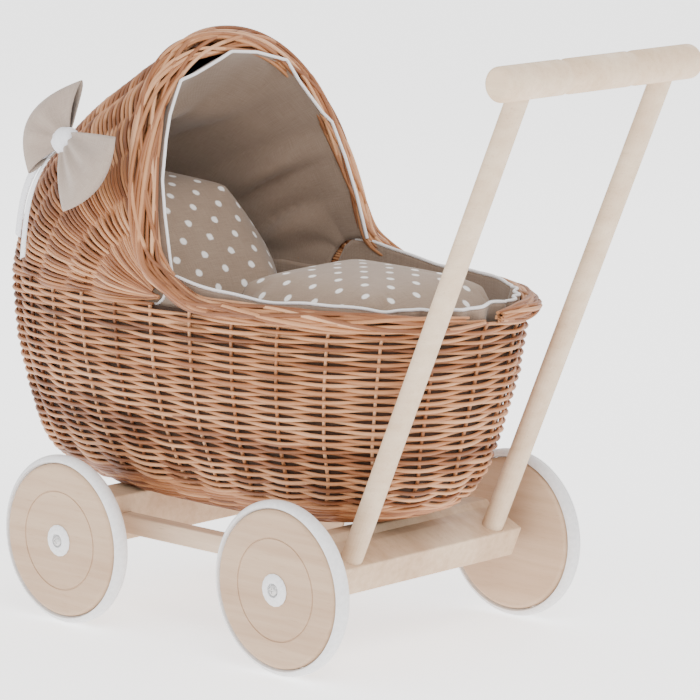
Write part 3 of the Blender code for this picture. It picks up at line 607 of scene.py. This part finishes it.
def borderRuns():
    even, line, axis, long, short = borderLine()
    tangent = unit(np.gradient(line, axis=0))
    axis = unit(axis - tangent * (axis * tangent).sum(1, keepdims=True))
    other = np.cross(tangent, axis)
    runs = []
    count = len(even)
    for index in range(border["rods"]):
        hand = 1 if index % 3 else -1
        layer = 1.0 if index % 2 else 0.80
        angle = 2 * math.pi * index / border["rods"] + hand * 2 * math.pi * 3.0 * even / even[-1]
        angle = angle + wander(count, 90, 300 + index) * 0.22
        depth = layer * (1 + 0.06 * wander(count, 60, 340 + index))
        section = axis * (long * np.cos(angle))[:, None] + other * (short * np.sin(angle))[:, None]
        points = line + section * depth[:, None]
        start = random.randint(0, 120)
        while start < count - 40:
            end = min(start + random.randint(260, 420), count)
            part = points[start:end:3].copy()
            size = len(part)
            tip = np.minimum(np.arange(size), np.arange(size)[::-1]) / 8.0
            part += (line[start:end:3] - part) * (0.45 * np.clip(1 - tip, 0, 1))[:, None]
            radii = border["radius"] * random.uniform(0.90, 1.08) * (0.6 + 0.4 * np.clip(tip, 0, 1))
            runs.append((part, radii))
            start = end - 14
    return runs


# how deep the sheets of painted shade sit inside the weave
shadeSheetDepth = 0.0088  # in from the weave's outer face


def shadeSheet(name, shape, closed):
    # a dark sheet inside the weave: painted shade, seen dark between the rods
    mesh = gridMesh(name, 140, 30, lambda u, v: Vector(shape(u, v)), closed=closed, cloth=(1.4, 0.2))
    piece = place(name, mesh, "shadeSheet", "willow")
    solid(piece, 0.0008)


print("wicker")
def tubShadeSheetPoint(u, v):
    return tubPoint(u * 2 * math.pi, 0.02 + 0.975 * v, shadeSheetDepth)


def hoodShadeSheetPoint(u, v):
    along = 0.16 + u * (math.pi - 0.32)
    return hoodPoint(along, archAngle(along, -0.010) * v, shadeSheetDepth)


# sheets of painted shade inside the tub and the hood weave
shadeSheet("tubShadeSheet", tubShadeSheetPoint, True)
shadeSheet("hoodShadeSheet", hoodShadeSheetPoint, False)
tubes("tubWeave", tubRows(), "tub", "willow", ("wicker_body",))
tubes("tubWale", waleRows(), "tub", "willow")
tubes("basketStakes", stakeRuns(), "stake", "willow")
tubes("hoodWeave", hoodRows(), "hood", "willow", ("wicker_hood",))
tubes("basketBorder", borderRuns(), "border", "willow", ("rim_border", "hood_border"))

lining = {"clear": 0.0128, "tubClear": 0.0100, "wave": 0.0022, "rise": 0.0165,
          "bottom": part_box("mattress")[1].z, "bottomGap": 0.003}
mouthEdge = {
    # where the hood lining's edge runs round the mouth: across and up, on the arch's slanted plane
    "points": ((-0.1287, 0.3300), (-0.1275, 0.3495), (-0.1231, 0.3934), (-0.1180, 0.4241), (-0.1041, 0.4589),
               (-0.0933, 0.4804), (-0.0810, 0.4974), (-0.0712, 0.5101), (-0.0540, 0.5135), (-0.0354, 0.5191),
               (-0.0180, 0.5245), (0.0, 0.5307), (0.0325, 0.5276), (0.0697, 0.5173), (0.0813, 0.4959),
               (0.1029, 0.4661), (0.1137, 0.4558), (0.1225, 0.4220), (0.1280, 0.3856), (0.1310, 0.3450)),
    "forward": 0.011,
}


def mouthPoint(u):
    points = np.array(mouthEdge["points"])
    run = np.r_[0.0, np.cumsum(np.linalg.norm(np.diff(points, axis=0), axis=1))]
    y = np.interp(u * run[-1], run, points[:, 0])
    z = np.interp(u * run[-1], run, points[:, 1])
    x = tub["fanX"] - hood["archFoot"] + mouthEdge["forward"] - hood["archLean"] * (z - tub["top"])
    return np.stack([x, y, z], axis=-1)


def mouthAlong(u):
    # the hood's own place whose rise and side match the edge
    edge = mouthPoint(u)
    return np.arctan2(np.maximum(edge[..., 2] - tub["top"], 0) / 0.215, -edge[..., 1] / 0.134) % (2 * math.pi)


def hoodLiningPoint(u, v):
    u = np.asarray(u, float)
    edge = mouthPoint(u)
    along = mouthAlong(u)
    top = archAngle(along, -0.02)
    wall = hoodPoint(along, np.maximum(top * (1 - v) ** 1.15, 0.0), lining["clear"])
    wall[..., 2] -= 0.004 + 0.032 * ease((v - 0.86) / 0.14)
    middle = np.array([tub["fanX"] - 0.09, 0.0, 0.33])
    inward = unit(middle - wall)
    # the roof panel hangs between its pins, fullest near the left top corner
    roof = np.exp(-((u - 0.40) / 0.20) ** 2) * np.exp(-((v - 0.26) / 0.15) ** 2) * 0.036
    roof = roof + np.exp(-((u - 0.24) / 0.12) ** 2) * np.exp(-((v - 0.30) / 0.16) ** 2) * 0.030
    far = np.exp(-((u - 0.86) / 0.13) ** 2)
    pleats = 0.0075 * np.sin(u * 47 + v * 3.0 + 0.7) * far * np.sin(math.pi * np.clip(v * 1.1, 0, 1))
    pleats = pleats + 0.0035 * np.sin(u * 31 + v * 6.0) * np.sin(math.pi * v)
    wall = wall + inward * (roof + np.abs(pleats) + pleats * 0.5)[..., None]
    share = ease(v / 0.20)[..., None] if np.ndim(v) else ease(v / 0.20)
    return edge * (1 - share) + wall * share


def basketLiningPoint(turn, v):
    # v runs from the top edge down to the mattress
    crotch = np.where(np.sin(turn) < 0, 0.008, -0.030)
    underHood = ease((tub["fanX"] + crotch - tubPoint(turn, 1.0)[..., 0]) / 0.025)
    rear = ease((tubPoint(turn, 1.0)[..., 0] - 0.15) / 0.06)
    wave = np.sin(turn * 13.0 + 1.0) * 0.5 + np.sin(turn * 23.0 + 0.4) * 0.35
    rise = lining["rise"] + 0.0018 * wave - underHood * 0.018 - rear * 0.002
    back = (tubPoint(turn, 1.0)[..., 0] - tub["fanX"]) / 0.11
    climb = np.clip(1 - back, 0, 1) ** 2 * 0.012 * (1 - underHood)
    top = tub["top"] + rise + climb
    z = top + (lining["bottom"] + lining["bottomGap"] - top) * v
    height = np.clip((z - tub["bottom"]) / (tub["top"] - tub["bottom"]), 0, 1)
    clear = lining["tubClear"] + (lining["clear"] - lining["tubClear"]) * ease((height - 0.85) / 0.12)
    fold = lining["wave"] * (1 + wave) + rear * 0.006 * (1 + np.sin(turn * 41.0))
    fold = fold * np.sin(math.pi * np.clip(0.12 + v * 0.9, 0, 1))
    point = tubPoint(turn, height, clear + fold)
    point[..., 2] = z
    return point


def sheetPiece(name, columns, rows, shape, finish, slot, replaced, cloth, closed=False, thick=0.0012):
    mesh = gridMesh(name, columns, rows, lambda u, v: Vector(shape(u, v)), closed=closed, cloth=cloth)
    piece = place(name, mesh, finish, slot, replaced)
    solid(piece, thick, 0.0)
    return piece


def pipingPiece(name, points, slot, replaced, radius=0.0016):
    return tubes(name, [(points, np.full(len(points), radius))], "piping", slot, replaced)


print("linings")
hoodLining = sheetPiece("hoodLining", 120, 60, lambda u, v: hoodLiningPoint(np.array(u), np.array(v)),
                        "lining", "linen_lining", ("hood_lining",), (0.56, 0.36))
basketLining = sheetPiece("basketLining", 220, 24,
                          lambda u, v: basketLiningPoint(np.array(u * 2 * math.pi), np.array(v)),
                          "lining", "linen_lining", ("basket_lining",), (1.45, 0.12), closed=True)
edgeRun = np.linspace(0, 1, 160)
hoodEdge = np.array([hoodLiningPoint(np.array(u), np.array(0.0)) for u in edgeRun])
pipingPiece("hoodPiping", hoodEdge, "white_piping", ("hood_piping",))
rimTurns = np.linspace(-0.5 * math.pi - 0.05, 0.5 * math.pi + 0.05, 200)
rimEdge = np.array([basketLiningPoint(np.array(t % (2 * math.pi)), np.array(0.0)) for t in rimTurns])
pipingPiece("basketPiping", rimEdge, "white_piping", ("basket_piping",))


pillow = {"half": (0.104, 0.109, 0.044), "centre": (-0.140, 0.0, 0.325),
          "lean": math.radians(51), "oval": 2.05, "cuts": 52}
duvet = {"half": (0.126, 0.113, 0.062), "centre": (0.094, 0.0, 0.284), "lean": 0.0, "oval": 2.6, "cuts": 56}
middleShift = tub["fanX"] + 0.020


def cushion(name, sizes, pressure):
    # two oval cuts of cloth sewn round their edge and stuffed
    bm = bmesh.new()
    cuts = sizes["cuts"]
    bmesh.ops.create_grid(bm, x_segments=cuts, y_segments=cuts, size=1.0)
    halfX, halfY, halfZ = sizes["half"]
    share = 2 / sizes["oval"]
    for vert in bm.verts:
        u, v = vert.co.x, vert.co.y
        reach = max(abs(u), abs(v))
        angle = math.atan2(v, u)
        vert.co.x = halfX * reach * math.copysign(abs(math.cos(angle)) ** share, u) if abs(u) > 1e-6 else 0.0
        vert.co.y = halfY * reach * math.copysign(abs(math.sin(angle)) ** share, v) if abs(v) > 1e-6 else 0.0
        vert.co.z = 0.002 + 0.35 * halfZ * (1 - reach ** 3)
    lower = bmesh.ops.duplicate(bm, geom=bm.verts[:] + bm.edges[:] + bm.faces[:])["geom"]
    lowerVerts = [g for g in lower if isinstance(g, bmesh.types.BMVert)]
    for vert in lowerVerts:
        vert.co.z *= -1
    rims = [edge for edge in bm.edges if edge.is_boundary]
    bmesh.ops.bridge_loops(bm, edges=rims)
    bmesh.ops.recalc_face_normals(bm, faces=bm.faces)
    mesh = meshOf(bm, name)
    layer = mesh.attributes.new("cloth", "FLOAT_VECTOR", "POINT")
    flat = np.empty(len(mesh.vertices) * 3, np.float32)
    mesh.vertices.foreach_get("co", flat)
    layer.data.foreach_set("vector", flat)
    piece = bpy.data.objects.new(name, mesh)
    bpy.context.scene.collection.objects.link(piece)
    cloth = piece.modifiers.new("stuffing", "CLOTH")
    cloth.settings.effector_weights.gravity = 0.0
    cloth.settings.use_pressure = True
    cloth.settings.uniform_pressure_force = pressure
    cloth.settings.quality = 6
    cloth.settings.mass = 0.25
    cloth.settings.tension_stiffness = 12
    cloth.settings.compression_stiffness = 12
    cloth.settings.bending_stiffness = 0.4
    cloth.settings.shrink_min = -0.02
    cloth.point_cache.frame_start = 1
    cloth.point_cache.frame_end = 20
    for number in range(1, 21):
        bpy.context.scene.frame_set(number)
    graph = bpy.context.evaluated_depsgraph_get()
    stuffed = bpy.data.meshes.new_from_object(piece.evaluated_get(graph))
    piece.modifiers.clear()
    piece.data = stuffed
    bpy.context.scene.frame_set(1)
    mesh = piece.data
    points = np.empty(len(mesh.vertices) * 3, np.float32)
    mesh.vertices.foreach_get("co", points)
    points = points.reshape(-1, 3).astype(float)
    span = np.abs(points).max(0)
    points *= np.array([halfX, halfY, halfZ]) / span
    bpy.data.objects.remove(piece)
    return mesh, points


def settle(name, mesh, points, sizes, node):
    turn = Matrix.Rotation(sizes["lean"], 4, "Y")
    spin = np.array(turn.to_3x3())
    centre = np.array(sizes["centre"]) + np.array([middleShift, 0, 0])
    points = points @ spin.T + centre
    mesh.vertices.foreach_set("co", points.astype(np.float32).ravel())
    piece = place(name, mesh, "dotted", "dotted_cotton", (node,))
    smooth = piece.modifiers.new("smooth", "SUBSURF")
    smooth.levels = 1
    smooth.render_levels = 1
    return piece


print("bedding")
pillowMesh, pillowPoints = cushion("pillowCover", pillow, 5.0)
pillowPiece = settle("pillowCover", pillowMesh, pillowPoints, pillow, "pillow")
duvetMesh, duvetPoints = cushion("duvetCover", duvet, 4.0)
duvetPiece = settle("duvetCover", duvetMesh, duvetPoints, duvet, "duvet")


bow = {"knot": (-0.151, -0.138, 0.4535), "knotHalf": (0.0165, 0.0110, 0.0135),
       "upper": ((-0.1413, -0.126, 0.5080), (-0.2140, -0.152, 0.4800), (-0.1870, -0.152, 0.4200)),
       "lower": ((-0.0610, -0.160, 0.4660), (-0.0640, -0.167, 0.4120), (-0.1270, -0.164, 0.3920)),
       "puff": 0.013, "pleats": 3.0,
       "tails": ((-0.228, -0.128, 0.3553), (-0.2130, -0.136, 0.3355)), "width": 0.009}
shifted = np.array([middleShift, 0, 0])


def loopPoint(ends, u, v):
    # a band of cloth out to the loop's fold and back, gathered at the knot
    knot = np.array(bow["knot"]) + shifted
    first, bulge, last = [np.array(end) + shifted for end in ends]
    fold = first * (1 - u) ** 2 + bulge * 2 * u * (1 - u) + last * u ** 2
    outward = np.array([0.20, -0.95, 0.25])
    outward /= np.linalg.norm(outward)
    out = 0.5 - 0.5 * math.cos(v * 2 * math.pi)
    side = math.sin(v * 2 * math.pi)
    flare = (fold - (first + last) / 2) * 0.18 * (1 - out)
    gather = math.sin(math.pi * min(out + 0.1, 1.0)) * (1 - out * 0.6)
    pleat = math.cos(u * bow["pleats"] * 2 * math.pi) * 0.0030 * gather
    fullness = 0.35 + 0.65 * math.sin(math.pi * u)
    stand = bow["puff"] * side * fullness + pleat + 0.004
    return Vector(knot + (fold - knot) * out ** 0.8 + flare + outward * stand)


def tailPoint(end, lean, u, v):
    knot = np.array(bow["knot"]) + shifted
    last = np.array(end) + shifted
    sag = math.sin(math.pi * v)
    middle = knot + (last - knot) * v + np.array([-0.006, -0.012 * sag, 0.012 * sag])
    across = np.array([0.86, -0.20, 0.35 * lean])
    across /= np.linalg.norm(across)
    return Vector(middle + across * (u - 0.5) * bow["width"] * (1 + 0.15 * v)
                  + np.array([0, -0.002, 0]) * math.cos((u - 0.5) * math.pi))


print("bow")
loops = (("bowLoopUpper", bow["upper"], "bow_loop_upper", 0.0071),
         ("bowLoopLower", bow["lower"], "bow_loop_lower", 0.0112))
for name, ends, node, flatArea in loops:
    mesh = gridMesh(name, 30, 60, lambda u, v: loopPoint(ends, u, v), cloth=(0.09, 0.16), closed=True)
    piece = place(name, mesh, "bow", "bow_linen", (node,))
    solid(piece, 0.0009)
for index, end in enumerate(bow["tails"]):
    name = f"ribbonTail{index + 1}"
    mesh = gridMesh(name, 6, 30, lambda u, v: tailPoint(end, 1 if index else -1, u, v), cloth=(0.009, 0.13))
    piece = place(name, mesh, "ribbon", "white_ribbon", (f"ribbon_tail_{index + 1}",))
    solid(piece, 0.0007)
bm = bmesh.new()
bmesh.ops.create_icosphere(bm, subdivisions=4, radius=1.0)
for vert in bm.verts:
    direction = vert.co.copy()
    ridge = 1 + 0.05 * math.sin(direction.x * 9 + direction.z * 4)
    vert.co = Vector([d * half * ridge for d, half in zip(direction, bow["knotHalf"])])
knotPlace = Vector(np.array(bow["knot"]) + shifted + np.array([0, -0.004, 0]))
bmesh.ops.translate(bm, verts=bm.verts, vec=knotPlace)
knotMesh = meshOf(bm, "bowKnot")
knotLayer = knotMesh.attributes.new("cloth", "FLOAT_VECTOR", "POINT")
for i, vert in enumerate(knotMesh.vertices):
    knotLayer.data[i].vector = vert.co
place("bowKnot", knotMesh, "ribbon", "white_ribbon", ("bow_knot",))


def turned(name, profile, centre, axis, finish, slot, replaced, rider, steps=64, sharp=40):
    # a profile of (radius, place along the axis) spun right round
    bm = bmesh.new()
    verts = [bm.verts.new((radius, 0, along)) for radius, along in profile]
    edges = [bm.edges.new(pair) for pair in zip(verts, verts[1:])]
    bmesh.ops.spin(bm, geom=verts + edges, cent=(0, 0, 0), axis=(0, 0, 1), angle=2 * math.pi, steps=steps,
                   use_merge=True)
    bmesh.ops.remove_doubles(bm, verts=bm.verts, dist=0.000005)
    turn = Vector((0, 0, 1)).rotation_difference(Vector(axis)).to_matrix()
    bmesh.ops.recalc_face_normals(bm, faces=bm.faces)
    bmesh.ops.rotate(bm, verts=bm.verts, cent=(0, 0, 0), matrix=turn)
    bmesh.ops.translate(bm, verts=bm.verts, vec=Vector(centre))
    return place(name, meshOf(bm, name), finish, slot, replaced, rider, sharp)


def arcs(corner, radius, first, last, count=6):
    angles = np.linspace(math.radians(first), math.radians(last), count)
    return [(corner[0] + radius * math.cos(a), corner[1] + radius * math.sin(a)) for a in angles]


wheel = {"bore": 0.0065, "rounding": 0.0045, "grooveDepth": 0.0009, "tyreGap": 0.00035}

print("wheels and handle")
for end in ("front", "rear"):
    for side, outward in (("left", -1), ("right", 1)):
        which = f"{end}_{side}"
        rider = f"{which}_wheel"
        low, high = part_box(f"tyre_{which}")
        discLow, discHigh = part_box(f"wheel_disc_{which}")
        centre = ((low.x + high.x) / 2, (discLow.y + discHigh.y) / 2, (low.z + high.z) / 2)
        half = (discHigh.y - discLow.y) / 2
        reach = (discHigh.x - discLow.x) / 2
        label = end.capitalize() + side.capitalize()
        rounding = wheel["rounding"]
        profile = [(wheel["bore"], -half)] + arcs((reach - rounding, -half + rounding), rounding, -90, 0)
        profile += arcs((reach - rounding, half - rounding), rounding, 0, 90)
        groove = half - wheel["grooveDepth"]
        profile += [(0.0475, half), (0.0471, groove), (0.0463, groove), (0.0459, half)]
        profile += [(wheel["bore"], half), (wheel["bore"], -half)]
        turned("disc" + label, profile, centre, (0, outward, 0), "ply", "birch_ply",
               (f"wheel_disc_{which}",), rider, 96)
        outer = (high.x - low.x) / 2
        tyreHalf = (high.y - low.y) / 2
        inner = reach + wheel["tyreGap"]
        tube = outer - inner
        ring = [(inner + 0.0008, -tyreHalf + 0.002)]
        ring += [(inner + tube * (0.10 + 0.90 * math.cos(a)), tyreHalf * math.sin(a))
                 for a in np.linspace(-1.45, 1.45, 15)]
        ring += [(inner + 0.0008, tyreHalf - 0.002), (inner, tyreHalf - 0.003)]
        ring += [(inner, -tyreHalf + 0.003), (inner + 0.0008, -tyreHalf + 0.002)]
        middle = (centre[0], (low.y + high.y) / 2, centre[2])
        turned("tyre" + label, ring, middle, (0, outward, 0), "rubber", "tyre_rubber",
               (f"tyre_{which}",), rider, 96)

barCentre = (barLow + barHigh) / 2
barHalf = (barHigh.y - barLow.y) / 2
barRadius = (barHigh.z - barLow.z) / 2
barProfile = [(0.0, -barHalf)] + arcs((barRadius - 0.0055, -barHalf + 0.0055), 0.0055, -90, 0, 7)
for ringPlace in (-1, 1):
    spot = ringPlace * barHalf * 0.34
    cove = ((0.0, -0.006), (0.0012, -0.002), (0.0014, 0.0), (0.0012, 0.002), (0.0, 0.006))
    barProfile += [(barRadius - deep, spot + aside) for deep, aside in cove]
barProfile += arcs((barRadius - 0.0055, barHalf - 0.0055), 0.0055, 0, 90, 7) + [(0.0, barHalf)]
turned("handleBar", barProfile, barCentre, (0, 1, 0), "barWood", "beech", ("handle_bar",), body, 64)

woods = {"front_beam": "beamWood", "rear_beam": "beamWood", "rail_left": "railWood", "rail_right": "railWood",
         "handle_post_left": "postWood", "handle_post_right": "postWood", "mattress": "ticking",
         "wicker_base": "border"}
for name, finish in woods.items():
    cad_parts[name].material_slots[0].material = finishes[finish]
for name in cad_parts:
    if name.startswith(("axle_screw", "basket_screw", "axle_spacer")):
        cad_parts[name].material_slots[0].material = finishes["steel"]
    if name.startswith("hub_bush"):
        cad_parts[name].material_slots[0].material = finishes["plastic"]

view = {"azimuth": 43.68, "elevation": 10.32, "distance": 3.73748, "focal": 4069.25,
        "ahead": 0.07706, "height": 0.26679}
wheelsMiddle = (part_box("tyre_front_left")[0].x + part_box("tyre_rear_left")[1].x) / 2


def addCamera():
    camera = bpy.data.cameras.new("camera")
    camera.sensor_width = 36.0
    camera.lens = view["focal"] * 36.0 / 700
    camera.clip_end = 50
    turn, tilt = math.radians(view["azimuth"]), math.radians(view["elevation"])
    back = Vector((math.sin(turn) * math.cos(tilt), -math.cos(turn) * math.cos(tilt), math.sin(tilt)))
    holder = bpy.data.objects.new("camera", camera)
    holder.location = Vector((wheelsMiddle + view["ahead"], 0.0, view["height"])) + back * view["distance"]
    holder.rotation_euler = (math.pi / 2 - tilt, 0, turn)
    bpy.context.scene.collection.objects.link(holder)
    bpy.context.scene.camera = holder


def addFloor():
    bm = bmesh.new()
    bmesh.ops.create_grid(bm, x_segments=2, y_segments=2, size=14)
    floor = bpy.data.objects.new("floor", meshOf(bm, "floor"))
    bpy.context.scene.collection.objects.link(floor)
    finish = Finish("floorPaint", Roughness=0.85, Specular_IOR_Level=0.1, Emission_Color=(1, 1, 1, 1),
                    Emission_Strength=1.6)
    cloud = finish.noise(finish.objectPlace(), 3.0, 2.0)
    floor.data.materials.append(finish.wear(finish.mix(cloud, (0.93, 0.93, 0.93), (0.95, 0.95, 0.95))))


def addLights():
    world = bpy.data.worlds.new("studio")
    world.use_nodes = True
    world.node_tree.nodes["Background"].inputs[0].default_value = (1.0, 1.0, 1.0, 1.0)
    world.node_tree.nodes["Background"].inputs[1].default_value = 1.25
    seen = world.node_tree.nodes.new("ShaderNodeBackground")
    seen.inputs[1].default_value = 9.0
    path = world.node_tree.nodes.new("ShaderNodeLightPath")
    either = world.node_tree.nodes.new("ShaderNodeMixShader")
    links = world.node_tree.links
    links.new(path.outputs["Is Camera Ray"], either.inputs[0])
    links.new(world.node_tree.nodes["Background"].outputs[0], either.inputs[1])
    links.new(seen.outputs[0], either.inputs[2])
    links.new(either.outputs[0], world.node_tree.nodes["World Output"].inputs[0])
    bpy.context.scene.world = world
    for name, place, size, power, aim in (("key", (2.2, -1.2, 2.6), 1.8, 60, (0, 0, 0.25)),
                                          ("fill", (-2.4, -2.4, 1.6), 2.4, 26, (0, 0, 0.25)),
                                          ("back", (-0.6, 2.6, 2.2), 1.8, 26, (0, 0, 0.25))):
        lamp = bpy.data.lights.new(name, "AREA")
        lamp.size = size
        lamp.energy = power
        holder = bpy.data.objects.new(name, lamp)
        holder.location = place
        holder.rotation_euler = (Vector(aim) - Vector(place)).to_track_quat("-Z", "Y").to_euler()
        bpy.context.scene.collection.objects.link(holder)


addCamera()
addFloor()
addLights()
